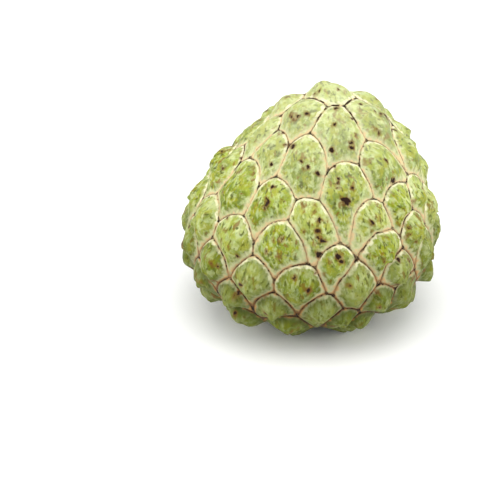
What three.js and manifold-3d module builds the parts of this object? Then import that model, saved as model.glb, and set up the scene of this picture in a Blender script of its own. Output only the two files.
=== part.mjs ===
// Custard apple (sugar apple): one whole ripe fruit standing on its stalk end, with a stub of its stalk.
// The rind is a quilt of fleshy scales, each the tip of one carpel, that grew together into one fruit.
// Millimetres, +Z up. The origin is on the surface the fruit stands on, under the middle of its outline.

import * as THREE from 'three';
import { mergeVertices } from 'three/addons/utils/BufferGeometryUtils.js';
import Module from 'manifold-3d';

// ---- Driving dimensions: the body, measured at the seams between the scales ----

const BODY_WIDTH = 81.6;
const TOP_HEIGHT = 42.6; // from the widest ring up to the apex
const BASE_HEIGHT = 39.4; // and down to the stalk end
const TOP_TAPER = 0.33; // the share of its width that the body loses towards the apex
const BASE_FLARE = 0.36; // the share of its width that the body gains towards the stalk
const TOP_LEAN = 6; // how far the apex leans towards +X
const LEAN_FROM = 0.43; // share of the height where the lean starts
const LEAN_TO = 0.85; // and where it is full
const SINK = -0.1; // how far the seam level of the stalk end lies above the resting surface

// ---- Driving dimensions: the scales ----

// One row for each ring of scales: degrees from the apex, number of scales, longitude of the first one.
// Longitude -90 is the front, towards -Y.
const ROWS = [
  [9, 1, 100],
  [31, 6, -84],
  [52, 12, -108],
  [72, 14, -94],
  [88, 14, -83],
  [103, 15, -95],
  [118, 16, -86],
  [133, 13, -76],
  [149, 8, -60],
  [166, 5, -80],
];

// Scales that grew out of line, as 'row.place': [degrees towards the stalk, degrees round towards +X].
const OUT_OF_LINE = {
  '1.0': [-1, 0],
  '1.1': [-1, 3],
  '1.5': [-7, -4],
  '2.0': [-8, -5],
  '2.1': [4, 0],
  '2.2': [-2, -2],
  '2.3': [0, 11],
  '2.10': [-9, -4],
  '2.11': [-5, -10],
  '3.0': [1, -4],
  '3.1': [2, 7],
  '3.2': [0, 2],
  '3.3': [3, -5],
  '3.11': [-6, -7],
  '3.12': [-8, -6],
  '3.13': [-5, -2],
  '4.0': [2, 3],
  '4.1': [2, 3],
  '4.13': [-5, 1],
  '5.0': [-1, -2],
  '5.1': [-1, 1],
  '6.1': [-1, 7],
  '7.0': [-7, 1],
  '7.1': [-1, -15],
  '7.2': [0, -8],
};

// Scales that stayed narrow between their neighbours, as 'row.place': share of their width.
const NARROW = { '3.1': 0.92, '4.0': 0.72, '5.1': 0.9, '7.0': 0.78, '7.1': 0.8 };

// A scale is a tile with an oval outline. Its round apex end laps over the pointed ends of the tiles above.
const TILE_SHARE = 0.53; // half the width of a tile, as a share of the spacing in its ring
const TILE_HALF_WIDTH = [7.8, 9.5]; // the least and the most that half can be
const TILE_STRETCH = 1.3; // length of a tile against its width
const TILE_DROP = 3.5; // the oval's middle lies this far towards the stalk from the tile's own middle
const TILE_LAP = 1; // the higher, the more a tile keeps its round apex end against the tiles above it
const DOME_REACH = 7; // distance from its seam at which a scale has risen to its full height
const DOME_POWER = 2; // above 1, a scale rises fast at its seam and is nearly flat on top
const SEAM_SOFTNESS = 1; // per mm: the higher, the sharper the ridges that run to a scale's corners
const CORNER_START = 0.2; // nearer to a seam than this, the corners of a scale are as sharp as its outline
const CORNER_END = 2.5; // and from here on they are as soft as they get
const TOP_RELIEF = 2.6; // height of a scale above its seams near the apex
const LOW_RELIEF = 4; // the same below the widest ring, where the scales swell into lobes
const BASE_RELIEF = 3.4; // and round the stalk's dish
const RELIEF_SPREAD = 0.3; // the tallest scale against the shortest, as a share of the mean
const LOBE_DROOP = 0.12; // how far a low lobe hangs towards the stalk, for each mm of its height
const SWELL_FROM = 50; // degrees from the apex where the lobes start to swell
const SWELL_TO = 125; // and where they are full
const DROOP_END = 160; // lobes beyond this stand straight out round the stalk's dish

// ---- Driving dimensions: the stalk and its dish ----

const DISH_DEPTH = 6;
const DISH_FLOOR_RADIUS = 3.5;
const DISH_RIM_RADIUS = 13;
const STALK_RADIUS = 3.4;
const STALK_COLLAR_RADIUS = 4.3; // where the wood widens into the fruit
const STALK_CUT_HEIGHT = 1.4; // the cut end stays this far above the resting surface
const STALK_TOP_HEIGHT = 12.5; // the wood ends here inside the fruit
const STALK_CUT_BEVEL = 0.5;
const STALK_GAP = 0.3; // clearance between the wood and its socket
const STALK_SIDES = 20;

// ---- Mesh fineness ----

const FACES_PER_EDGE = 19; // the icosahedron that carries the rind is split this many times along each edge
const SNAP_DISTANCE = 0.9; // mesh points nearer to a seam than this are moved onto it
const PROBE = 1e-3; // step for slopes, on a ball of radius 1
const TINY = 1e-9; // keeps a length from being zero

// ---- The smooth body ----

function ringRadius(polar) {
  const rise = Math.cos(polar);
  const taper = 1 - (rise > 0 ? TOP_TAPER : BASE_FLARE) * rise;
  return (BODY_WIDTH / 2) * Math.sin(polar) * taper;
}

function bodyPoint(polar, longitude) {
  const rise = Math.cos(polar);
  const radius = ringRadius(polar);
  const share = (1 + rise) / 2;
  const dishShare = 1 - THREE.MathUtils.smoothstep(radius, DISH_FLOOR_RADIUS, DISH_RIM_RADIUS);
  const dish = rise < 0 ? DISH_DEPTH * dishShare : 0;
  return new THREE.Vector3(
    radius * Math.cos(longitude) + TOP_LEAN * THREE.MathUtils.smoothstep(share, LEAN_FROM, LEAN_TO),
    radius * Math.sin(longitude),
    SINK + BASE_HEIGHT + (rise > 0 ? TOP_HEIGHT : BASE_HEIGHT) * rise + dish,
  );
}

function anglesOf(direction) {
  return [Math.acos(THREE.MathUtils.clamp(direction.z, -1, 1)), Math.atan2(direction.y, direction.x)];
}

function bodyAt(direction) {
  return bodyPoint(...anglesOf(direction));
}

// Two tangents of the unit ball, the first towards the east and the second towards the apex.
function ballTangents(direction) {
  const east = new THREE.Vector3(-direction.y, direction.x, 0);
  if (east.lengthSq() < PROBE ** 2) east.set(0, 1, 0);
  east.normalize();
  return [east, new THREE.Vector3().crossVectors(direction, east)];
}

function stepped(direction, tangent, amount) {
  return direction.clone().addScaledVector(tangent, amount).normalize();
}

// The body's own east, apex-ward and outward directions at a direction of the unit ball.
function bodyFrame(direction) {
  const [east, north] = ballTangents(direction).map((tangent) =>
    bodyAt(stepped(direction, tangent, PROBE)).sub(bodyAt(stepped(direction, tangent, -PROBE))).normalize(),
  );
  const outward = new THREE.Vector3().crossVectors(east, north).normalize();
  return { point: bodyAt(direction), east, north, outward };
}

// ---- The scales ----

// A repeatable number from 0 to 1 for each scale.
function chance(index) {
  const wave = Math.sin((index + 1) * 12.9898) * 43758.5453;
  return wave - Math.floor(wave);
}

function makeScales() {
  const scales = [];
  ROWS.forEach(([rowPolar, count, firstLongitude], row) => {
    const spacing = (2 * Math.PI * ringRadius(THREE.MathUtils.degToRad(rowPolar))) / count;
    const rowHalfWidth = THREE.MathUtils.clamp(TILE_SHARE * spacing, ...TILE_HALF_WIDTH);
    for (let place = 0; place < count; place += 1) {
      const name = `${row}.${place}`;
      const [morePolar, moreLongitude] = OUT_OF_LINE[name] ?? [0, 0];
      const halfWidth = rowHalfWidth * (NARROW[name] ?? 1);
      const polar = THREE.MathUtils.degToRad(rowPolar + morePolar);
      const longitude = THREE.MathUtils.degToRad(firstLongitude + (360 * place) / count + moreLongitude);
      const direction = new THREE.Vector3().setFromSphericalCoords(1, polar, longitude);
      // three.js measures that polar angle from +Y, so the axes are put back in this part's order.
      direction.set(direction.z, direction.x, direction.y);
      const tallness = 1 + RELIEF_SPREAD * (chance(scales.length) - 0.5);
      scales.push({ ...bodyFrame(direction), halfWidth, tallness });
    }
  });
  return scales;
}

const scales = makeScales();

// How far a point lies out of a scale's oval: level is 0 on the outline, and rises with slope per mm outwards.
// A tile's level is steep at its apex end and shallow at its stalk end, so where two tiles meet, the round
// apex end of the lower one sets the seam.
function scaleLevel(point, scale) {
  const offset = point.clone().sub(scale.point);
  const across = offset.dot(scale.east);
  const along = offset.dot(scale.north) + TILE_DROP;
  const out = offset.dot(scale.outward);
  const length = Math.hypot(across, along, out) + TINY;
  const stretched = along / TILE_STRETCH;
  const size = Math.hypot(across, stretched, out) / scale.halfWidth + TINY;
  const steepness = Math.exp((TILE_LAP * stretched) / (scale.halfWidth * size));
  return { level: (size - 1) * steepness, slope: (steepness * size) / length };
}

// Which scale a point of the body belongs to, and how far it is from the nearest seam.
function nearestScale(point) {
  const levels = scales.map((scale) => scaleLevel(point, scale));
  const own = levels.reduce((best, { level }, index) => (level < levels[best].level ? index : best), 0);
  let crowding = 0;
  let seam = Infinity;
  levels.forEach(({ level, slope }, index) => {
    if (index === own) return;
    const gap = (level - levels[own].level) / (slope + levels[own].slope);
    seam = Math.min(seam, gap);
    crowding += Math.exp(-SEAM_SOFTNESS * gap);
  });
  const soft = -Math.log(crowding) / SEAM_SOFTNESS;
  const rounding = THREE.MathUtils.smoothstep(seam, CORNER_START, CORNER_END);
  return { scale: scales[own], seam, softSeam: Math.max(0, THREE.MathUtils.lerp(seam, soft, rounding)) };
}

// A direction near a seam is moved onto it, so that the mesh has edges along the grooves.
function snapToSeam(direction) {
  const here = nearestScale(bodyAt(direction)).seam;
  if (here > SNAP_DISTANCE) return direction;
  const slope = new THREE.Vector3();
  ballTangents(direction).forEach((tangent) => {
    const ahead = nearestScale(bodyAt(stepped(direction, tangent, PROBE))).seam;
    slope.addScaledVector(tangent, (ahead - here) / PROBE);
  });
  const steep = slope.lengthSq();
  const least = (BODY_WIDTH / 8) ** 2; // a flatter slope is a corner between seams, which stays put
  return steep < least ? direction : stepped(direction, slope, -here / steep);
}

function rindPoint(direction) {
  const { point, north, outward } = bodyFrame(direction);
  const { scale, softSeam } = nearestScale(point);
  const [polar] = anglesOf(direction);
  const degrees = THREE.MathUtils.radToDeg(polar);
  const swell = THREE.MathUtils.smoothstep(degrees, SWELL_FROM, SWELL_TO);
  const turnedUnder = THREE.MathUtils.smoothstep(degrees, SWELL_TO, DROOP_END);
  const droop = LOBE_DROOP * swell * (1 - turnedUnder);
  const sideRelief = THREE.MathUtils.lerp(TOP_RELIEF, LOW_RELIEF, swell);
  const relief = THREE.MathUtils.lerp(sideRelief, BASE_RELIEF, turnedUnder) * scale.tallness;
  const height = relief * (1 - (1 - Math.min(softSeam / DOME_REACH, 1)) ** DOME_POWER);
  point.addScaledVector(outward, height).addScaledVector(north, -droop * height);
  // The lobes that carry the fruit are pressed flat on what it stands on.
  point.z = Math.max(point.z, 0);
  return point;
}

function makeRind() {
  const geometry = bareMesh(new THREE.IcosahedronGeometry(1, FACES_PER_EDGE - 1));
  const position = geometry.attributes.position;
  const direction = new THREE.Vector3();
  for (let index = 0; index < position.count; index += 1) {
    direction.fromBufferAttribute(position, index).normalize();
    position.setXYZ(index, ...rindPoint(snapToSeam(direction)));
  }
  return geometry;
}

// ---- The stalk ----

// The stub from its cut end up into the fruit, or with a gap added, the socket that holds it.
function makeStalk(gap) {
  const cut = STALK_CUT_HEIGHT - gap;
  const top = STALK_TOP_HEIGHT + gap;
  const collarHeight = (STALK_CUT_HEIGHT + STALK_TOP_HEIGHT) / 2;
  const profile = [
    new THREE.Vector2(0, cut),
    new THREE.Vector2(STALK_RADIUS + gap - STALK_CUT_BEVEL, cut),
    new THREE.Vector2(STALK_RADIUS + gap, cut + STALK_CUT_BEVEL),
    new THREE.Vector2(STALK_RADIUS + gap, collarHeight - STALK_RADIUS / 2),
    new THREE.Vector2(STALK_COLLAR_RADIUS + gap, collarHeight),
    new THREE.Vector2(STALK_RADIUS + gap, top - STALK_CUT_BEVEL),
    new THREE.Vector2(0, top),
  ];
  const geometry = bareMesh(new THREE.LatheGeometry(profile, STALK_SIDES));
  geometry.rotateX(Math.PI / 2);
  return geometry;
}

// ---- Solids ----

// The same faces with shared corners, and nothing but their positions.
function bareMesh(geometry) {
  geometry.deleteAttribute('normal');
  geometry.deleteAttribute('uv');
  return mergeVertices(geometry, 1e-5);
}

const wasm = await Module();
wasm.setup();

function toSolid(geometry) {
  const mesh = new wasm.Mesh({
    numProp: 3,
    vertProperties: new Float32Array(geometry.attributes.position.array),
    triVerts: new Uint32Array(geometry.index.array),
  });
  return new wasm.Manifold(mesh);
}

function toGeometry(solid) {
  const mesh = solid.getMesh();
  const geometry = new THREE.BufferGeometry();
  geometry.setAttribute('position', new THREE.BufferAttribute(mesh.vertProperties, 3));
  geometry.setIndex(new THREE.BufferAttribute(mesh.triVerts, 1));
  return geometry;
}

// ---- The part ----

function addPiece(name, geometry, color, roughness) {
  geometry.computeVertexNormals();
  const material = new THREE.MeshStandardMaterial({ color, roughness, metalness: 0 });
  const piece = new THREE.Mesh(geometry, material);
  piece.name = name;
  part.add(piece);
}

const fruit = toGeometry(toSolid(makeRind()).subtract(toSolid(makeStalk(STALK_GAP))));
fruit.computeBoundingBox();
const middle = fruit.boundingBox.getCenter(new THREE.Vector3());

const part = new THREE.Group();
part.position.set(-middle.x, -middle.y, 0);
addPiece('fruit', fruit, 0xaab455, 0.6);
addPiece('stem_stub', makeStalk(0), 0x8a6a44, 0.85);

export default part;
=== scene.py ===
# %% [markdown]
# # A whole custard apple
# This lesson builds the looks of a ripe custard apple round a plain solid that fixes its place and size.
# The fruit is an aggregate: about a hundred small fruits, each with one seed, grew together, and the tip
# of each one is a fleshy scale of the rind. The lesson first works out where the scales lie, then makes
# one closed skin with its domes, seams and wrinkles, and then paints it with patterns measured in mm.

# %% Load the frame
import math

import bpy
import numpy as np
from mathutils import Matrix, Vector, noise


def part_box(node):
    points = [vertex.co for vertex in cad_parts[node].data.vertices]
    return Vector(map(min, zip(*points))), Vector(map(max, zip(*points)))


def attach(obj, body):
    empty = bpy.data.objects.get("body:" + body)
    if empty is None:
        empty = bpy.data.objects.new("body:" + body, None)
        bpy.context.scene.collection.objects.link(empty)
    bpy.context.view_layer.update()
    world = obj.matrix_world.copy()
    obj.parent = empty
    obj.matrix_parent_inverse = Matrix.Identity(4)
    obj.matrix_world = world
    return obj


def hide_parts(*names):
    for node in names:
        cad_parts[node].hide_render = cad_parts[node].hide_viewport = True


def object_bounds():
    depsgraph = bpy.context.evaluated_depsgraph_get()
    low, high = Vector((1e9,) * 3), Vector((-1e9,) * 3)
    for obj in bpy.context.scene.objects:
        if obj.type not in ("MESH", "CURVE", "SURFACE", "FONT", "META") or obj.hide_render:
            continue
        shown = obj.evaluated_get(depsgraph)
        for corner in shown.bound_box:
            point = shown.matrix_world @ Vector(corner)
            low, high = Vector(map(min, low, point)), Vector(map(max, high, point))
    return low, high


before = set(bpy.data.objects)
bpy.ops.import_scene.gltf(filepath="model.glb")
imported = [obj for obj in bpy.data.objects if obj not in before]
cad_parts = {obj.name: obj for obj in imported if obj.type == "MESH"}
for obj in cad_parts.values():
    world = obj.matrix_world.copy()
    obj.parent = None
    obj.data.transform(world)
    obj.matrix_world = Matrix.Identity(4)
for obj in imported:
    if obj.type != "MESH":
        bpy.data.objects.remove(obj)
cad_low, cad_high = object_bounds()
stalk_low, stalk_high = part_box("stem_stub")
MM = 0.001
print("CAD box, mm:", [round((b - a) / MM, 1) for a, b in zip(cad_low, cad_high)])

# %% [markdown]
# ## The body under the scales
# Below its bumps the fruit is an egg that is broad at the stalk end and leans a little. One formula gives
# a point of that egg for each direction of a ball, so every later step can think in directions. The same
# driving dimensions are used as in the solid model, so most of the skin lies within half a mm of it.

# %% The egg, in mm
BODY_WIDTH = 81.6
TOP_HEIGHT, BASE_HEIGHT = 42.6, 39.4  # from the widest ring up to the apex and down to the stalk end
TOP_TAPER = 0.33  # share of its width that the body loses towards the apex
BASE_FLARE = 0.36  # share of its width that it gains towards the stalk
TOP_LEAN = 6.0  # how far the apex leans towards +X
LEAN_FROM, LEAN_TO = 0.43, 0.85  # shares of the height where the lean starts and is full
SINK = -0.1  # how far the seam level of the stalk end lies above the resting surface
DISH_DEPTH = 6.0
DISH_FLOOR_RADIUS, DISH_RIM_RADIUS = 3.5, 13.0


def smooth(value, low, high):
    """0 below low, 1 above high and an S-curve between them."""
    share = np.clip((value - low) / (high - low), 0, 1)
    return share * share * (3 - 2 * share)


def unit(vectors):
    return vectors / np.linalg.norm(vectors, axis=-1, keepdims=True)


def width_at(rise):
    """Half the body's width, before the ball's own narrowing, at a height from -1 to 1."""
    return BODY_WIDTH / 2 * (1 - np.where(rise > 0, TOP_TAPER, BASE_FLARE) * rise)


def body_at(directions):
    """The point of the smooth body for each direction of the unit ball."""
    rise = directions[:, 2]
    width = width_at(rise)
    radius = width * np.hypot(directions[:, 0], directions[:, 1])
    share = (1 + rise) / 2
    dish = np.where(rise < 0, DISH_DEPTH * (1 - smooth(radius, DISH_FLOOR_RADIUS, DISH_RIM_RADIUS)), 0)
    x = width * directions[:, 0] + TOP_LEAN * smooth(share, LEAN_FROM, LEAN_TO)
    z = SINK + BASE_HEIGHT + np.where(rise > 0, TOP_HEIGHT, BASE_HEIGHT) * rise + dish
    return np.stack([x, width * directions[:, 1], z], axis=-1)


PROBE = 1e-3  # step for slopes, on a ball of radius 1


def ball_tangents(directions):
    """East and apex-ward tangents of the unit ball."""
    east = np.stack([-directions[:, 1], directions[:, 0], np.zeros(len(directions))], axis=-1)
    at_pole = np.linalg.norm(east, axis=-1) < PROBE
    east[at_pole] = (0, 1, 0)
    east = unit(east)
    return east, np.cross(directions, east)


def body_frame(directions):
    """Points of the body with its east, apex-ward and outward directions there."""
    axes = [
        unit(body_at(unit(directions + PROBE * t)) - body_at(unit(directions - PROBE * t)))
        for t in ball_tangents(directions)
    ]
    return body_at(directions), axes[0], axes[1], unit(np.cross(axes[0], axes[1]))


APEX = np.array([[0.0, 0.0, 1.0]])
print("apex of the body, mm:", body_at(APEX)[0].round(1))

# %% [markdown]
# ## Where the scales lie
# The scales stand in rings from the apex down, each ring turned a little against the one above. A real
# fruit is never that regular, so some scales are pushed out of line one by one.
#
# Each scale is a tile with an oval outline. How far a point lies out of an oval is called its level here:
# 0 on the outline, and rising outwards. A point belongs to the scale whose level is the lowest. The level
# rises steeply at the apex end of a tile and slowly at its stalk end, so where two tiles meet, the round
# apex end of the lower one sets the seam, and the scales look laid like roof tiles.

# %% Rings of scales
ROWS = [  # degrees from the apex, number of scales, longitude of the first one
    (9, 1, 100),
    (31, 6, -84),
    (52, 12, -108),
    (72, 14, -94),
    (88, 14, -83),
    (103, 15, -95),
    (118, 16, -86),
    (133, 13, -76),
    (149, 8, -60),
    (166, 5, -80),
]
OUT_OF_LINE = {  # (row, place): degrees towards the stalk, degrees round towards +X
    (1, 0): (-1, 0),
    (1, 1): (-1, 3),
    (1, 5): (-7, -4),
    (2, 0): (-8, -5),
    (2, 1): (4, 0),
    (2, 2): (-2, -2),
    (2, 3): (0, 11),
    (2, 10): (-9, -4),
    (2, 11): (-5, -10),
    (3, 0): (1, -4),
    (3, 1): (2, 7),
    (3, 2): (0, 2),
    (3, 3): (3, -5),
    (3, 11): (-6, -7),
    (3, 12): (-8, -6),
    (3, 13): (-5, -2),
    (4, 0): (2, 3),
    (4, 1): (2, 3),
    (4, 13): (-5, 1),
    (5, 0): (-1, -2),
    (5, 1): (-1, 1),
    (6, 1): (-1, 7),
    (7, 0): (-7, 1),
    (7, 1): (-1, -15),
    (7, 2): (0, -8),
}
NARROW = {(3, 1): 0.92, (4, 0): 0.72, (5, 1): 0.9, (7, 0): 0.78, (7, 1): 0.8}  # share of the usual width
TILE_SHARE = 0.53  # half the width of a tile, as a share of the spacing in its ring
TILE_HALF_WIDTH = (7.8, 9.5)  # mm, the least and the most that half can be
TILE_STRETCH = 1.3  # length of a tile against its width
TILE_DROP = 3.5  # mm that the oval's middle lies towards the stalk from the tile's own middle
TILE_LAP = 1.0  # the higher, the more a tile keeps its round apex end
RELIEF_SPREAD = 0.3  # the tallest scale against the shortest, as a share of the mean


def chance(index, salt=0):
    """A repeatable number from 0 to 1, by the usual sine hash."""
    wave = math.sin((index + 1) * 12.9898 + salt * 78.233) * 43758.5453
    return wave - math.floor(wave)


scale_names, scale_directions, half_widths = [], [], []
for row, (row_polar, count, first_longitude) in enumerate(ROWS):
    row_radians = math.radians(row_polar)
    ring_radius = width_at(math.cos(row_radians)) * math.sin(row_radians)
    half_width = np.clip(TILE_SHARE * 2 * math.pi * ring_radius / count, *TILE_HALF_WIDTH)
    for place in range(count):
        more_polar, more_longitude = OUT_OF_LINE.get((row, place), (0, 0))
        polar = math.radians(row_polar + more_polar)
        longitude = math.radians(first_longitude + 360 * place / count + more_longitude)
        round_axis = (math.cos(longitude), math.sin(longitude))
        scale_directions.append(
            (math.sin(polar) * round_axis[0], math.sin(polar) * round_axis[1], math.cos(polar))
        )
        scale_names.append((row, place))
        half_widths.append(half_width * NARROW.get((row, place), 1))
SCALE_AT, SCALE_EAST, SCALE_NORTH, SCALE_OUT = body_frame(np.array(scale_directions))
SCALE_HALF_WIDTH = np.array(half_widths)
SCALE_TALL = np.array([1 + RELIEF_SPREAD * (chance(i) - 0.5) for i in range(len(scale_names))])
print("scales:", len(scale_names))

# %% Distances to the seams
SEAM_SOFTNESS = 1.0  # per mm: the higher, the sharper the ridges that run to a scale's corners
CORNER_SOFTENS = (0.2, 2.5)  # mm from the seam: sharp corners up to the first, soft from the second on
TINY = 1e-9  # keeps a length from being zero
CHUNK = 16000  # points worked out at a time, which keeps the memory small


def seams(points):
    """Each point's scale, mm to its two nearest seams, a rounded distance and its place in the scale."""
    owners, nearest, rounded, places = [], [], [], []
    for start in range(0, len(points), CHUNK):
        offset = points[start : start + CHUNK, None] - SCALE_AT[None]
        across = (offset * SCALE_EAST).sum(-1)
        along = (offset * SCALE_NORTH).sum(-1)
        out = (offset * SCALE_OUT).sum(-1)
        dropped = along + TILE_DROP
        stretched = dropped / TILE_STRETCH
        size = np.sqrt(across**2 + stretched**2 + out**2) / SCALE_HALF_WIDTH + TINY
        steepness = np.exp(TILE_LAP * stretched / (SCALE_HALF_WIDTH * size))
        level = (size - 1) * steepness
        slope = steepness * size / (np.sqrt(across**2 + dropped**2 + out**2) + TINY)
        own = level.argmin(1)
        each = np.arange(len(own))
        gap = (level - level[each, own][:, None]) / (slope + slope[each, own][:, None])
        gap[each, own] = np.inf
        closest = np.partition(gap, 1, axis=1)[:, :2]
        hard = closest[:, 0]
        soft = -np.log(np.exp(-SEAM_SOFTNESS * gap).sum(1)) / SEAM_SOFTNESS
        owners.append(own)
        nearest.append(closest)
        rounded.append(np.maximum(hard + (soft - hard) * smooth(hard, *CORNER_SOFTENS), 0))
        places.append(np.stack([across[each, own], along[each, own]], axis=-1))
    return [np.concatenate(found) for found in (owners, nearest, rounded, places)]


print("from the apex to its two nearest seams, mm:", seams(body_at(APEX))[1][0].round(1))

# %% [markdown]
# ## One closed skin
# A ball made from a cube's six faces has no poles, so its squares are nearly the same size everywhere.
# About a hundred thousand of them give squares of half a millimetre. The seams are narrower than that,
# so the points near a seam are drawn in towards it before the skin is lifted: the grooves come out crisp
# where an even mesh would leave them ragged.

# %% A ball of squares
SQUARES = 128  # along each edge of the cube
JOIN_DIGITS = 6  # corners that agree to this many digits are one


def cube_ball(squares):
    """Unit directions and quads of a cube blown up to a ball, with its edges joined."""
    ticks = np.tan(np.linspace(-math.pi / 4, math.pi / 4, squares + 1))
    right, up = np.meshgrid(ticks, ticks, indexing="ij")
    ones = np.ones_like(right)
    sides = [
        (right, up, ones),
        (up, right, -ones),
        (ones, right, up),
        (-ones, up, right),
        (up, ones, right),
        (right, -ones, up),
    ]
    corners = unit(np.concatenate([np.stack(side, axis=-1).reshape(-1, 3) for side in sides]))
    near = np.round(corners, JOIN_DIGITS)
    _, first, joined = np.unique(near, axis=0, return_index=True, return_inverse=True)
    number = np.arange((squares + 1) ** 2).reshape(squares + 1, squares + 1)
    quad = np.stack([number[:-1, :-1], number[1:, :-1], number[1:, 1:], number[:-1, 1:]], axis=-1)
    quads = np.concatenate([quad.reshape(-1, 4) + side * number.size for side in range(len(sides))])
    return corners[first], joined.reshape(-1)[quads]


directions, quads = cube_ball(SQUARES)
print("points:", len(directions), "squares:", len(quads))

# %% Draw the points in towards the seams
GATHER_REACH = 1.7  # mm: points nearer to a seam than this move
GATHER_POWER = 1.7  # above 1, they crowd towards it
LEAST_STEEP = BODY_WIDTH / 8  # mm for each radian: where the distance rises less, a point stays


def gather(directions):
    """The same directions with those near a seam moved towards it."""
    here = seams(body_at(directions))[1][:, 0]
    slope = np.zeros_like(directions)
    for tangent in ball_tangents(directions):
        ahead = seams(body_at(unit(directions + PROBE * tangent)))[1][:, 0]
        slope += tangent * ((ahead - here) / PROBE)[:, None]
    wanted = GATHER_REACH * (here / GATHER_REACH) ** GATHER_POWER
    steep = (slope**2).sum(-1)
    moving = (here < GATHER_REACH) & (steep > LEAST_STEEP**2)
    step = np.where(moving, (wanted - here) / np.maximum(steep, 1), 0)
    return unit(directions + slope * step[:, None])


even_directions = directions
directions = gather(even_directions)
moved = np.linalg.norm(directions - even_directions, axis=-1) > TINY
print("points drawn in:", int(moved.sum()))

# %% [markdown]
# ## Domes, seams and creases
# Each scale is a low pillow near the apex and a hanging lobe near the stalk. Three things lie on it, and
# all of them are real shape here, because a bump in a material would not show in the outline: a thin crack
# along the seams, the lumps of the pulp underneath, and creases that run down the lobes as the rind sags.
# Round the apex side of a scale the crack is deeper and the edge stands up as a lip.

# %% Sizes of the relief, in mm
DOME_REACH = 7.0
TOP_DOME_POWER, LOW_DOME_POWER = 2.0, 2.2  # the higher, the steeper the sides of a scale
TOP_RELIEF, LOW_RELIEF, BASE_RELIEF = 2.6, 4.0, 3.4
LOBE_DROOP = 0.12
SWELL_FROM, SWELL_TO, DROOP_END = 50, 125, 160  # degrees from the apex
CRACK_DEPTH, CRACK_WIDTH = 0.3, 0.24
TOP_FLAT, LOW_FLAT = 1.8, 0.8  # how wide the margin stays low before the dome rises
MIDDLING_FLAT = 1.0  # the margin for which a dome is full height just at its reach
LIP_HEIGHT, LIP_AT, LIP_WIDTH = 0.1, 0.8, 0.45
MARGIN_STEP, MARGIN_SQUEEZE = 0.2, 0.5  # the margin is narrower on the apex side
MARGIN_WIDTH = (1.1, 1.8)  # mm from the seam, from where the margin ends to where the rind is up
APEX_SIDE = (-0.35, 0.45)  # share of the way towards the apex, where its side starts and is full
WANDER_SIZE, CRACK_WANDER, MARGIN_WANDER = 4.0, 0.7, 0.6  # how the seams change along their length
STALK_SIDE_CRACK = 0.45  # depth of the crack there, as a share of the full one
LUMPS = [(6.5, 0.9), (3.0, 0.45), (1.5, 0.2)]  # size and height of the lumps
LUMPS_RISE, CREASES_RISE = (0.4, 3.5), (1.0, 3.5)  # mm from the seam where they start and are full
CREASE_DEPTH, CREASE_SHARPNESS = 0.55, 0.1
CREASE_WIDTH, CREASE_LENGTH = 4.0, 10.0
TOP_CREASES = 0.35  # depth of the creases near the apex, as a share of the full one
NEXT_PATTERN = 17.0  # how far apart two scales read the noise, so that each has a pattern of its own
PRESS_ROUNDING = 0.5  # how softly the pressed undersides turn up from the resting surface
print("relief near the apex, on the lobes and round the dish, mm:", TOP_RELIEF, LOW_RELIEF, BASE_RELIEF)

# %% Lift the skin


def noise_at(points):
    """Smooth noise from about -1 to 1, a feature for each whole step of the coordinates."""
    return np.array([noise.noise(Vector(point)) for point in points])


point, east, north, outward = body_frame(directions)
owner, nearest, rounded, place = seams(point)
seam, second_seam = nearest.T
degrees = np.degrees(np.arccos(np.clip(directions[:, 2], -1, 1)))
swell = smooth(degrees, SWELL_FROM, SWELL_TO)
turned_under = smooth(degrees, SWELL_TO, DROOP_END)
droop = LOBE_DROOP * swell * (1 - turned_under)
side_relief = TOP_RELIEF + (LOW_RELIEF - TOP_RELIEF) * swell
relief = (side_relief + (BASE_RELIEF - side_relief) * turned_under) * SCALE_TALL[owner]
dome_power = TOP_DOME_POWER + (LOW_DOME_POWER - TOP_DOME_POWER) * swell
flat = TOP_FLAT + (LOW_FLAT - TOP_FLAT) * swell
full_rise = math.hypot(DOME_REACH, MIDDLING_FLAT) - flat
risen = (np.sqrt(rounded**2 + flat**2) - flat) / full_rise
dome = relief * (1 - (1 - np.clip(risen, 0, 1)) ** dome_power)

# 1 on the apex side of a scale, 0 on its stalk side
apex_side = smooth(place[:, 1] / (np.linalg.norm(place, axis=-1) + TINY), *APEX_SIDE)
margin = seam * (1 + MARGIN_SQUEEZE * apex_side)
wander = noise_at(point / WANDER_SIZE)
crack_depth = CRACK_DEPTH * (STALK_SIDE_CRACK + (1 - STALK_SIDE_CRACK) * apex_side)
crack = crack_depth * (1 + CRACK_WANDER * wander) * np.exp(-((seam / CRACK_WIDTH) ** 2))
lip = LIP_HEIGHT * apex_side * np.exp(-(((seam - LIP_AT) / LIP_WIDTH) ** 2))
step = MARGIN_STEP * smooth(margin + MARGIN_WANDER * wander, *MARGIN_WIDTH)
in_scale = np.column_stack([place, owner * NEXT_PATTERN])
lumps = sum(tall * noise_at(in_scale / size) for size, tall in LUMPS) * smooth(seam, *LUMPS_RISE)
fold = noise_at(in_scale / (CREASE_WIDTH, CREASE_LENGTH, 1))
crease_depth = CREASE_DEPTH * (TOP_CREASES + (1 - TOP_CREASES) * swell) * smooth(seam, *CREASES_RISE)
creases = crease_depth * np.exp(-((fold / CREASE_SHARPNESS) ** 2))

height = dome - crack + lip + step + lumps - creases
skin = point + outward * height[:, None] - north * (droop * dome)[:, None]
skin[:, 2] = (skin[:, 2] + np.sqrt(skin[:, 2] ** 2 + PRESS_ROUNDING**2)) / 2
skin[:, 2] -= skin[:, 2].min()
stalk_middle = (stalk_low + stalk_high) / 2
skin[:, :2] += np.array(stalk_middle[:2]) / MM
print("skin, mm:", np.round(skin.min(0), 1), np.round(skin.max(0), 1))
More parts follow.
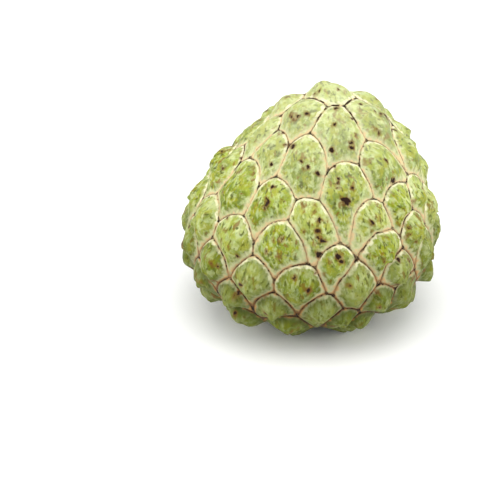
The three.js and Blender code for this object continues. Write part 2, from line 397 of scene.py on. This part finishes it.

# %% [markdown]
# ## Spots
# A ripe fruit is spotted where it was bruised or where sap dried. The larger spots are listed one by one
# and each scale gets a few small ones by chance. What the mesh keeps is not a colour but the distance to
# the nearest spot's edge: a distance blends cleanly across the squares, and the material can then draw
# an edge that is much sharper than the mesh.

# %% Place the spots
MARKED = {  # (row, place): [(mm across, mm towards the apex, radius in mm), ...]
    (1, 0): [(1.0, 7.5, 0.6), (-2.0, -8.0, 0.6), (4.0, -7.5, 0.7), (4.0, -6.0, 0.5)],
    (1, 1): [(2.0, -4.0, 0.4), (1.0, -2.0, 0.3), (2.5, -7.0, 0.4)],
    (1, 5): [(-0.5, -2.5, 0.4), (2.5, -3.0, 0.3), (3.5, 0.0, 0.5), (0.5, -4.0, 0.2)],
    (2, 0): [(-5.0, 1.0, 0.8), (0.0, -4.0, 0.3), (2.5, -5.5, 0.3), (5.5, -6.5, 0.5), (1.5, -6.5, 0.2)],
    (2, 1): [(-3.5, 0.0, 0.3), (-4.0, -1.2, 0.4), (-3.8, -2.7, 0.4), (0.5, -3.0, 0.3), (-2.0, -7.0, 1.3)],
    (2, 2): [(2.5, -8.5, 0.8), (1.8, -7.5, 0.4)],
    (2, 3): [(0.0, 5.0, 0.6)],
    (3, 0): [(3.4, 1.5, 0.6), (3.2, -2.0, 0.7), (5.0, -4.5, 0.7), (3.5, -4.0, 0.5), (4.0, -9.5, 0.9)],
    (3, 1): [(-2.0, -1.5, 0.6), (-2.3, -4.0, 0.3)],
    (3, 13): [(-1.0, -2.0, 0.8), (-1.7, 3.5, 0.5), (-1.8, -3.5, 0.5)],
    (4, 0): [(0.8, 2.0, 1.0), (1.2, 0.6, 0.6)],
    (5, 0): [(3.5, 0.0, 0.6)],
}
CHANCE_COUNT = (1, 5)  # on each scale, from the first up to one less than the second
CHANCE_REACH = 6  # mm from the scale's middle
CHANCE_RADIUS = (0.1, 0.35)
NO_SPOT = 9.0  # mm, far from any spot
SPOT_SEED = 7
rng = np.random.default_rng(SPOT_SEED)
spots = []
for index, name in enumerate(scale_names):
    for across, along, radius in MARKED.get(name, []):
        spots.append((index, across, along, radius))
    for _ in range(rng.integers(*CHANCE_COUNT)):
        spots.append((index, *rng.uniform(-CHANCE_REACH, CHANCE_REACH, 2), rng.uniform(*CHANCE_RADIUS)))
spot_edge = np.full(len(skin), NO_SPOT)
for index, across, along, radius in spots:
    mine = owner == index
    gap = np.hypot(place[mine, 0] - across, place[mine, 1] - along) - radius
    spot_edge[mine] = np.minimum(spot_edge[mine], gap)
print("spots:", len(spots))


# %% Make the mesh
def make_piece(name, points_mm, faces, marks):
    """A smooth mesh object in metres that carries one number or vector per point for each mark."""
    mesh = bpy.data.meshes.new(name)
    mesh.from_pydata((points_mm * MM).tolist(), [], faces)
    mesh.shade_smooth()
    for mark, values in marks.items():
        kind, field = ("FLOAT", "value") if values.ndim == 1 else ("FLOAT_VECTOR", "vector")
        layer = mesh.attributes.new(mark, kind, "POINT")
        layer.data.foreach_set(field, values.astype(np.float32).ravel())
    piece = bpy.data.objects.new(name, mesh)
    bpy.context.scene.collection.objects.link(piece)
    print(name, "points:", len(mesh.vertices), "faces:", len(mesh.polygons))
    return piece


scale_luck = np.array([chance(i, 1) for i in range(len(scale_names))])
rind = make_piece(
    "rind",
    skin,
    quads.tolist(),
    {
        "seam_mm": seam,
        "junction_mm": second_seam,
        "margin_mm": margin,
        "apex_side": apex_side,
        "in_scale_mm": in_scale,
        "scale_luck": scale_luck[owner],
        "lowness": degrees / 180,
        "spot_mm": spot_edge,
    },
)
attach(rind, "root")
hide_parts("fruit")

# %% [markdown]
# ## Colour helpers
# Colours are picked as sRGB hex values, the way a colour picker shows them, and one function turns them
# to the linear values that the shader needs. Another adds a node with its settings and links, so that a
# material reads from top to bottom like a recipe.


# %% Colour and nodes
def linear(hex_colour):
    """An sRGB hex value as linear red, green, blue and alpha."""
    parts = [int(hex_colour[i : i + 2], 16) / 255 for i in (1, 3, 5)]
    return [p / 12.92 if p <= 0.04045 else ((p + 0.055) / 1.055) ** 2.4 for p in parts] + [1.0]


def add_node(tree, kind, settings, links):
    """Adds a node. settings are its options; links are values or other nodes' sockets for its inputs."""
    node = tree.nodes.new(kind)
    for option, value in settings.items():
        setattr(node, option, value)
    for socket, value in links.items():
        if isinstance(value, bpy.types.NodeSocket):
            tree.links.new(value, node.inputs[socket])
        else:
            node.inputs[socket].default_value = value
    return node


def new_material(name):
    material = bpy.data.materials.new(name)
    material.use_nodes = True
    material.node_tree.nodes.clear()
    return material, material.node_tree


print("mid grey #808080 as a linear value:", round(linear("#808080")[0], 3))

# %% [markdown]
# ## The rind
# Custard apple rind is a thin waxy skin over pulp, yellow-green with a pale bloom where nothing has
# rubbed it. Olive veins and yellow patches show where it ripens, pale wisps run along each scale, and the
# margins along the seams are cream to tan cork. Wax on living skin has an IOR of about 1.45 and is only
# half glossy, and light enters a little way, so a weak subsurface share softens the shade.
#
# The patterns lie on each scale's own two axes, in mm, so that they run along the scale and break off at
# its seams, as they do on the fruit.

# %% What the mesh tells the rind
rind_material, tree = new_material("waxy_custard_apple_rind")
value = {}
for mark in ("seam_mm", "junction_mm", "margin_mm", "apex_side", "scale_luck", "lowness", "spot_mm"):
    value[mark] = add_node(tree, "ShaderNodeAttribute", {"attribute_name": mark}, {}).outputs["Fac"]
on_scale = add_node(tree, "ShaderNodeAttribute", {"attribute_name": "in_scale_mm"}, {}).outputs["Vector"]
value["along_mm"] = add_node(tree, "ShaderNodeSeparateXYZ", {}, {"Vector": on_scale}).outputs["Y"]
print("marks the rind reads:", ", ".join(value))

# %% Rind patterns
RIND_PATTERNS = [  # name, size in mm across and along the scale, finer detail, swirl
    ("patch", 4.5, 5.5, 4, 0.4),
    ("ripe", 2.2, 3.0, 4, 0.4),
    ("wisp", 1.5, 2.2, 5, 0.5),
    ("bloom", 2.4, 3.2, 6, 0.4),
    ("vein", 1.2, 2.0, 5, 0.5),
    ("scuff", 2.2, 3.0, 4, 0.6),
    ("fray", 1.5, 1.5, 3, 0.0),
    ("mottle", 0.8, 1.0, 3, 0.6),
]
SEED_STEP = 3.7  # how far apart two patterns lie in the noise, so that none follows another
for seed, (name, across, along, detail, swirl) in enumerate(RIND_PATTERNS):
    per_mm = (1 / across, 1 / along, 1)
    stretched = add_node(
        tree, "ShaderNodeVectorMath", {"operation": "MULTIPLY"}, {0: on_scale, 1: per_mm}
    ).outputs["Vector"]
    value[name] = add_node(
        tree,
        "ShaderNodeTexNoise",
        {"noise_dimensions": "4D"},
        {"Vector": stretched, "W": seed * SEED_STEP, "Scale": 1.0, "Detail": detail, "Distortion": swirl},
    ).outputs["Fac"]
print("rind patterns:", len(RIND_PATTERNS))

# %% Frayed edges
FRAYED = [  # name, the distance, the pattern that frays it, by how many mm
    ("frayed_middle", "along_mm", "patch", 45.0),
    ("frayed_margin", "margin_mm", "fray", 3.6),
    ("frayed_crack", "seam_mm", "mottle", 0.4),
    ("frayed_spot", "spot_mm", "fray", 3.6),
]
for name, distance, pattern, reach in FRAYED:
    shift = add_node(
        tree, "ShaderNodeMath", {"operation": "MULTIPLY_ADD"}, {0: value[pattern], 1: reach, 2: -reach / 2}
    ).outputs["Value"]
    value[name] = add_node(
        tree, "ShaderNodeMath", {"operation": "ADD"}, {0: value[distance], 1: shift}
    ).outputs["Value"]
print("frayed distances:", len(FRAYED))

# %% [markdown]
# ## Painting in layers
# The colour is built the way a painter would do it: a ground colour, then one thin layer after another,
# each with a mask that says where it lies. A mask is a pattern or a distance cut off smoothly between two
# values, times a strength, and often times another mask. With masks and layers in tables, a change of the
# finish is a change of one line, and the same two steps serve the rind and the stalk.


# %% Masks and layers
def make_masks(tree, value, masks):
    """Adds each mask to value: a smooth step of a source, times a strength and another mask if named."""
    for name, source, start, end, strength, times in masks:
        step = add_node(
            tree,
            "ShaderNodeMapRange",
            {"interpolation_type": "SMOOTHSTEP"},
            {"Value": value[source], "From Min": start, "From Max": end, "To Max": strength},
        )
        value[name] = step.outputs["Result"]
        if times:
            product = add_node(
                tree, "ShaderNodeMath", {"operation": "MULTIPLY"}, {0: value[name], 1: value[times]}
            )
            value[name] = product.outputs["Value"]


def paint(tree, value, ground, layers):
    """The colour of a ground with layers over it, each a colour and the name of its mask."""
    colour = linear(ground)
    for mask, hex_colour in layers:
        layer = add_node(
            tree,
            "ShaderNodeMix",
            {"data_type": "RGBA", "label": mask},
            {"Factor": value[mask], "A": colour, "B": linear(hex_colour)},
        )
        colour = layer.outputs["Result"]
    return colour


# %% Rind masks
RIND_MASKS = [  # name, source, where it is 0, where it is full, strength, times another mask
    ("upper", "lowness", 0.48, 0.1, 1.0, None),
    ("lower", "lowness", 0.36, 0.72, 1.0, None),
    ("lowest", "lowness", 0.55, 0.8, 1.0, None),
    ("not_low", "lowness", 0.74, 0.54, 1.0, None),
    ("apexward", "apex_side", 0.25, 0.95, 1.0, None),
    # painted shade in part: the lower lobes darker, partly their own deeper green and partly the shade
    # under the fruit
    ("low_shade", "lower", 0.0, 1.0, 0.85, None),
    # painted shade in part: each scale darker green towards its stalk end, where it bulges and turns under
    ("stalk_end_green_and_shade", "frayed_middle", 4.0, -6.0, 0.9, None),
    ("dull_patch", "bloom", 0.47, 0.37, 0.6, None),
    ("ripe_patch", "ripe", 0.47, 0.62, 0.8, None),
    ("pale_scale", "scale_luck", 0.3, 1.0, 0.3, None),
    ("apex_bloom", "frayed_middle", 3.0, 12.0, 0.6, None),
    ("grey_bloom", "bloom", 0.5, 0.64, 0.6, None),
    ("pale_wisp", "wisp", 0.5, 0.64, 0.6, None),
    ("olive_vein", "vein", 0.53, 0.66, 0.85, None),
    ("dark_mottle", "mottle", 0.46, 0.34, 0.3, None),
    ("pale_mottle", "mottle", 0.56, 0.7, 0.25, None),
    ("brown_scuff", "scuff", 0.57, 0.68, 0.75, None),
    # painted light: the upper part of the fruit paler, as the light from above falls on it
    ("painted_top_light", "upper", 0.0, 1.0, 0.25, None),
    # painted shade: the lower lobes darkened again, over the patterns
    ("low_shade_over_patterns", "lower", 0.0, 1.0, 0.65, None),
    # painted shade: darker towards the seams of the lower lobes, where they turn in under each other
    ("low_seam_shade", "seam_mm", 3.6, 0.5, 0.85, "lower"),
    ("margin_edge", "frayed_margin", 2.3, 0.6, 0.6, "not_low"),
    ("margin", "frayed_margin", 0.8, 0.1, 0.85, "not_low"),
    ("low_margin", "frayed_margin", 1.1, 0.1, 0.9, "lower"),
    # the orange-brown of the seams on the lower lobes, darkened as painted shade in the grooves
    ("gully_brown_and_shade", "seam_mm", 0.7, 0.05, 0.8, "lower"),
    # painted shadow: a near-black line in the deep gaps between the lowest lobes
    ("low_gap_shadow", "frayed_crack", 0.75, 0.2, 0.85, "lowest"),
    # painted highlight: the next four masks draw a bright cream line where the raised lip on a scale's apex
    # side faces the light, fading out on the lower lobes
    ("lip_highlight_fade", "lowness", 0.6, 0.48, 0.65, "apexward"),
    ("lip_highlight_length", "bloom", 0.4, 0.56, 1.0, "lip_highlight_fade"),
    ("lip_highlight_inside", "frayed_margin", 1.9, 1.3, 1.0, "lip_highlight_length"),
    ("lip", "seam_mm", 0.3, 0.5, 1.0, "lip_highlight_inside"),
    ("crack_length", "patch", 0.51, 0.42, 1.0, None),
    ("thin_crack", "frayed_crack", 0.26, 0.08, 0.12, None),
    ("deep_crack", "frayed_crack", 0.26, 0.08, 0.75, "crack_length"),
    ("open_length", "ripe", 0.45, 0.54, 1.0, "apexward"),
    # painted shadow in part: the brown crack darkened to near black where it stands open on the apex side
    # of a scale
    ("open_crack_shadow", "frayed_crack", 0.52, 0.22, 1.0, "open_length"),
    ("pit_luck", "scuff", 0.46, 0.52, 1.0, None),
    ("pit", "junction_mm", 0.8, 0.35, 1.0, "pit_luck"),
    ("spot_halo", "frayed_spot", 1.2, -0.1, 0.75, None),
    ("spot", "frayed_spot", 0.25, -0.25, 1.0, None),
]
make_masks(tree, value, RIND_MASKS)

# %% Rind colours
RIND_GROUND = "#9fad3a"
# Besides the rind's own colours, some layers paint light and shade: the top paler, the lower lobes, their
# seams and gaps darker, a highlight along the lips and shadow in the open cracks.
RIND_LAYERS = [  # mask, colour
    # painted shade in part: the lower lobes a deeper green, laid under the patterns
    ("low_shade", "#76862a"),
    # painted shade in part: darker green towards the stalk end of each scale
    ("stalk_end_green_and_shade", "#6b7c10"),
    ("dull_patch", "#6e7f48"),
    ("ripe_patch", "#98980e"),
    ("pale_scale", "#c6ca80"),
    ("apex_bloom", "#cdd5a0"),
    ("grey_bloom", "#bccb96"),
    ("pale_wisp", "#ced69a"),
    ("olive_vein", "#454a0b"),
    ("dark_mottle", "#5a651a"),
    ("pale_mottle", "#dee4ae"),
    ("brown_scuff", "#7a5214"),
    # painted light on the top of the fruit
    ("painted_top_light", "#e2e4ba"),
    # painted shade on the lower lobes, over the patterns
    ("low_shade_over_patterns", "#4a5105"),
    # painted shade along the seams of the lower lobes
    ("low_seam_shade", "#3b450a"),
    ("margin_edge", "#d8d7aa"),
    ("margin", "#dec192"),
    ("low_margin", "#a27234"),
    # orange-brown seam colour with painted shade in the grooves of the lower lobes
    ("gully_brown_and_shade", "#6b4019"),
    # painted shadow in the gaps between the lowest lobes
    ("low_gap_shadow", "#241806"),
    # painted highlight along the raised lip on the apex side of a scale
    ("lip", "#f6f0cc"),
    ("thin_crack", "#75502c"),
    ("deep_crack", "#553018"),
    # brown crack with painted shadow where it stands open
    ("open_crack_shadow", "#2c160a"),
    ("pit", "#150c06"),
    ("spot_halo", "#744a20"),
    ("spot", "#28150a"),
]
rind_colour = paint(tree, value, RIND_GROUND, RIND_LAYERS)
print("rind masks:", len(RIND_MASKS), "layers:", len(RIND_LAYERS))

# %% Rind surface
RIND_IOR = 1.45
RIND_ROUGHNESS = (0.45, 0.65)  # where the rind is bare and where it carries bloom
RIND_SPECULAR = 0.12  # below the usual 0.5, because the powdery bloom takes most of the shine
BLOOM_SHEEN = 0.05  # and it looks paler where the eye grazes the rind
RIND_BUMP = 0.35 * MM
WISP_HEIGHT = 1.5  # height of the wisps, as a share of the mottle's
BLOOM_FROM, BLOOM_TO = 0.4, 0.65  # the bloom pattern where the rind starts to roughen and is roughest
bump_height = add_node(
    tree,
    "ShaderNodeMath",
    {"operation": "MULTIPLY_ADD"},
    {0: value["wisp"], 1: WISP_HEIGHT, 2: value["mottle"]},
).outputs["Value"]
bump = add_node(tree, "ShaderNodeBump", {}, {"Height": bump_height, "Strength": 0.6, "Distance": RIND_BUMP})
roughness = add_node(
    tree,
    "ShaderNodeMapRange",
    {"interpolation_type": "SMOOTHSTEP"},
    {
        "Value": value["bloom"],
        "From Min": BLOOM_FROM,
        "From Max": BLOOM_TO,
        "To Min": RIND_ROUGHNESS[0],
        "To Max": RIND_ROUGHNESS[1],
    },
)
shader = add_node(
    tree,
    "ShaderNodeBsdfPrincipled",
    {},
    {
        "Base Color": rind_colour,
        "Roughness": roughness.outputs["Result"],
        "Normal": bump.outputs["Normal"],
        "IOR": RIND_IOR,
        "Specular IOR Level": RIND_SPECULAR,
        "Sheen Weight": BLOOM_SHEEN,
        "Sheen Roughness": 0.5,
        "Sheen Tint": linear("#eaf2d8"),
        "Subsurface Weight": 0.06,
        "Subsurface Radius": (1.0, 0.8, 0.3),
        "Subsurface Scale": 1.0 * MM,
    },
)
add_node(tree, "ShaderNodeOutputMaterial", {}, {"Surface": shader.outputs["BSDF"]})
rind.data.materials.append(rind_material)
print("rind nodes:", len(tree.nodes))

# %% [markdown]
# ## The stalk
# The fruit hung from a woody stalk that was cut short. Its stub sits in the dish at the stalk end: rough
# grey-brown bark, a swollen collar where it enters the fruit, and a paler cut end with a pith in the
# middle. The stub could be turned as a lathe shape, but bark is never round, so it is a tube of rings
# whose radius follows the collar and is roughened with ridges and grit.

# %% Sizes of the stub, in mm
STALK_RADIUS, STALK_COLLAR = 3.3, 4.2
STALK_INSIDE = 3.0  # mm of the wood that is left out of sight inside the fruit
RINGS, SIDES = 40, 64
COLLAR_SPREAD = 1.8  # mm of the stalk's length over which the collar swells and sinks
RIDGES, GRIT = (3.2, 0.25, 0.07), (9.0, 1.4, 0.03)  # features round, per mm along, and height as a share
BARK_SHRINK = 0.05  # keeps the highest ridges within the solid's radius
CUT_RINGS, INNERMOST = 10, 0.05
CUT_RADIUS = STALK_RADIUS * 0.93
CUT_BEVEL = 0.2  # mm between the cut face and the bark
CUT_LEVEL, CUT_DIMPLE = 0.15, 0.35  # mm
CUT_WAVE, CUT_WAVES = 0.12, 21  # mm high, and radians from the middle to the rim
cut_z, top_z = stalk_low.z / MM, stalk_high.z / MM - STALK_INSIDE
collar_z = (stalk_low.z + stalk_high.z) / 2 / MM
print("stub, mm from its cut up to its top:", round(cut_z, 1), round(top_z, 1))

# %% Shape the stub


def ring(radius, z, rough):
    """One ring of the stub: ridged bark where rough is 1, smooth wood where it is 0."""
    turn = np.linspace(0, 2 * math.pi, SIDES, endpoint=False)
    circle = np.stack([np.cos(turn), np.sin(turn)], axis=-1)
    uneven = -BARK_SHRINK
    for features, per_mm, tall in (RIDGES, GRIT):
        uneven = uneven + tall * noise_at(np.column_stack([circle * features, np.full(SIDES, z * per_mm)]))
    radii = radius * (1 + rough * uneven)
    return np.column_stack([circle * radii[:, None], np.full(SIDES, z)])


stub_rings, barkness = [], []
for share in np.linspace(INNERMOST, 1, CUT_RINGS):
    sunk = CUT_DIMPLE * (1 - share) + CUT_WAVE * math.sin(share * CUT_WAVES)
    stub_rings.append(ring(CUT_RADIUS * share, cut_z + CUT_LEVEL + max(sunk, 0), 0.0))
    barkness.append(0.0)
for share in np.linspace(0, 1, RINGS):
    bark_z = cut_z + CUT_LEVEL + CUT_BEVEL
    z = bark_z + share * (top_z - bark_z)
    swell_here = math.exp(-(((z - collar_z) / COLLAR_SPREAD) ** 2))
    stub_rings.append(ring(STALK_RADIUS + (STALK_COLLAR - STALK_RADIUS) * swell_here, z, 1.0))
    barkness.append(1.0)
stub_points = np.concatenate(stub_rings)
ends = np.array([[0, 0, stub_rings[0][0, 2]], [0, 0, top_z]])
last = len(stub_rings) - 1
stub_points = np.concatenate([stub_points, ends])
stub_points[:, :2] += np.array(stalk_middle[:2]) / MM
side = np.arange(SIDES)
following = (side + 1) % SIDES
stub_faces = []
for level in range(last):
    a, b = level * SIDES, (level + 1) * SIDES
    stub_faces += np.stack([a + side, a + following, b + following, b + side], axis=-1).tolist()
centre_low, centre_high = len(stub_points) - 2, len(stub_points) - 1
stub_faces += [[centre_low, f, s] for s, f in zip(side, following)]
stub_faces += [[centre_high, last * SIDES + s, last * SIDES + f] for s, f in zip(side, following)]
print("stub, mm:", np.round(stub_points.min(0), 1), np.round(stub_points.max(0), 1))

# %% Make the stub
stub_bark = np.concatenate([np.repeat(barkness, SIDES), [0.0, 1.0]])
stub = make_piece("stalk_stub", stub_points, stub_faces, {"bark": stub_bark})
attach(stub, "root")
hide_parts("stem_stub")

# %% [markdown]
# ## Bark and cut wood
# The stalk dried on the fruit: grey-brown bark with dark streaks along it and a few grey patches of
# lichen, and on the cut end pale wood with a darker grain. Dry bark is rough and has no gloss. A mark on
# the mesh, 1 on the bark and 0 on the cut, lets one material be both.

# %% Stalk patterns
STALK_PATTERNS = [  # name, size in mm across and along the stalk, finer detail
    ("furrow", 0.6, 2.8, 6),
    ("wood_grain", 0.4, 0.4, 4),
]
STALK_MASKS = [  # name, source, where it is 0, where it is full, strength, times another mask
    ("dark_furrow", "furrow", 0.42, 0.56, 1.0, None),
    ("grey_lichen", "furrow", 0.56, 0.7, 0.6, None),
    ("cut_wood", "bark", 0.6, 0.3, 1.0, None),
    ("cut_grain", "wood_grain", 0.45, 0.65, 0.7, "cut_wood"),
]
stalk_material, tree = new_material("dry_stalk_bark")
object_place = add_node(tree, "ShaderNodeTexCoord", {}, {}).outputs["Object"]
value = {"bark": add_node(tree, "ShaderNodeAttribute", {"attribute_name": "bark"}, {}).outputs["Fac"]}
for name, across, along, detail in STALK_PATTERNS:
    per_metre = (1 / across / MM, 1 / across / MM, 1 / along / MM)
    stretched = add_node(
        tree, "ShaderNodeVectorMath", {"operation": "MULTIPLY"}, {0: object_place, 1: per_metre}
    ).outputs["Vector"]
    value[name] = add_node(
        tree, "ShaderNodeTexNoise", {}, {"Vector": stretched, "Scale": 1.0, "Detail": detail}
    ).outputs["Fac"]
make_masks(tree, value, STALK_MASKS)
print("stalk patterns and masks:", ", ".join(value))

# %% Stalk surface
STALK_GROUND = "#7a6047"
STALK_LAYERS = [  # mask, colour
    ("dark_furrow", "#4a3525"),
    ("grey_lichen", "#a3957c"),
    ("cut_wood", "#c9b186"),
    ("cut_grain", "#9a7a4e"),
]
STALK_IOR = 1.5
STALK_BUMP = 0.4 * MM
STALK_ROUGHNESS = (0.7, 0.98)  # at the low and the high end of the furrow pattern
stalk_colour = paint(tree, value, STALK_GROUND, STALK_LAYERS)
bump = add_node(
    tree, "ShaderNodeBump", {}, {"Height": value["furrow"], "Strength": 0.6, "Distance": STALK_BUMP}
)
roughness = add_node(
    tree,
    "ShaderNodeMapRange",
    {},
    {"Value": value["furrow"], "To Min": STALK_ROUGHNESS[0], "To Max": STALK_ROUGHNESS[1]},
)
shader = add_node(
    tree,
    "ShaderNodeBsdfPrincipled",
    {},
    {
        "Base Color": stalk_colour,
        "Roughness": roughness.outputs["Result"],
        "Normal": bump.outputs["Normal"],
        "IOR": STALK_IOR,
    },
)
add_node(tree, "ShaderNodeOutputMaterial", {}, {"Surface": shader.outputs["BSDF"]})
stub.data.materials.append(stalk_material)
print("stalk nodes:", len(tree.nodes))

# %% [markdown]
# ## Floor, light and camera
# Food is often lit high and soft, on white, so that the shadow is only a soft patch beside the fruit.
# A white world fills from all sides. One large lamp above gives the form: bright shoulders, and lobes
# that turn dark as they hang under. Two weak lamps at the sides lift the flanks, as a white tent would.
# The floor is matt white paper, which gives next to no gloss. The camera has a long lens, so the fruit
# keeps its true proportions.

# %% Floor
HALF_FLOOR = 3.0
floor_mesh = bpy.data.meshes.new("floor")
floor_corners = [(x * HALF_FLOOR, y * HALF_FLOOR, 0) for x, y in ((-1, -1), (1, -1), (1, 1), (-1, 1))]
floor_mesh.from_pydata(floor_corners, [], [(0, 1, 2, 3)])
floor = bpy.data.objects.new("floor", floor_mesh)
bpy.context.scene.collection.objects.link(floor)
floor_material, tree = new_material("white_paper_floor")
shader = add_node(
    tree, "ShaderNodeBsdfPrincipled", {}, {"Base Color": linear("#ffffff"), "Roughness": 0.9}
)
add_node(tree, "ShaderNodeOutputMaterial", {}, {"Surface": shader.outputs["BSDF"]})
floor_mesh.materials.append(floor_material)
print("floor, m across:", 2 * HALF_FLOOR)

# %% Light
WORLD_COLOUR, LAMP_COLOUR = "#f2f7ff", "#fffcf4"
WORLD_STRENGTH = 0.72
LAMP_OFFSET = Vector((0.0, -0.02, 0.85))  # from the fruit's middle, in metres
LAMP_SIZE = 1.0  # metres
LAMP_WATTS = 6.0
SIDE_LAMP_OFFSETS = [Vector((-0.7, -0.15, 0.3)), Vector((0.7, -0.15, 0.3))]
SIDE_LAMP_SIZE = 0.6
SIDE_LAMP_WATTS = 2.8
scene = bpy.context.scene
scene.view_settings.view_transform = "Standard"
world = bpy.data.worlds.new("white_studio")
scene.world = world
world.use_nodes = True
background = world.node_tree.nodes["Background"]
background.inputs["Color"].default_value = linear(WORLD_COLOUR)
background.inputs["Strength"].default_value = WORLD_STRENGTH
middle = (cad_low + cad_high) / 2


def hang_lamp(name, offset, size, watts):
    """A square lamp at an offset from the fruit's middle, aimed at it."""
    light = bpy.data.lights.new(name, "AREA")
    light.size = size
    light.energy = watts
    light.color = linear(LAMP_COLOUR)[:3]
    lamp = bpy.data.objects.new(name, light)
    lamp.location = middle + offset
    lamp.rotation_euler = (-offset).to_track_quat("-Z", "Y").to_euler()
    scene.collection.objects.link(lamp)
    print(name, "m:", [round(c, 2) for c in lamp.location])


hang_lamp("high_key", LAMP_OFFSET, LAMP_SIZE, LAMP_WATTS)
for number, offset in enumerate(SIDE_LAMP_OFFSETS):
    hang_lamp(f"side_fill_{number}", offset, SIDE_LAMP_SIZE, SIDE_LAMP_WATTS)

# %% Camera
LOOK_DOWN = 30.5  # degrees below the horizon
CAMERA_DISTANCE = 0.65  # metres
SENSOR_WIDTH, LENS = 36.0, 132.9  # mm
MIDDLE_HEIGHT = 0.0418  # metres from the floor to a point near the fruit's middle
SIT_RIGHT, SIT_HIGH = 0.0219, 0.0187  # how far right of and above the line of sight that point is
camera = bpy.data.objects.new("camera", bpy.data.cameras.new("camera"))
scene.collection.objects.link(camera)
scene.camera = camera
tilt = math.radians(LOOK_DOWN)
back = Vector((0, -math.cos(tilt), math.sin(tilt)))
right = Vector((1, 0, 0))
upward = Vector((0, math.sin(tilt), math.cos(tilt)))
target = Vector((0, 0, MIDDLE_HEIGHT)) - right * SIT_RIGHT - upward * SIT_HIGH
camera.location = target + back * CAMERA_DISTANCE
camera.rotation_euler = (-back).to_track_quat("-Z", "Y").to_euler()
camera.data.sensor_width = SENSOR_WIDTH
camera.data.lens = LENS
print("camera, m:", [round(c, 2) for c in camera.location])
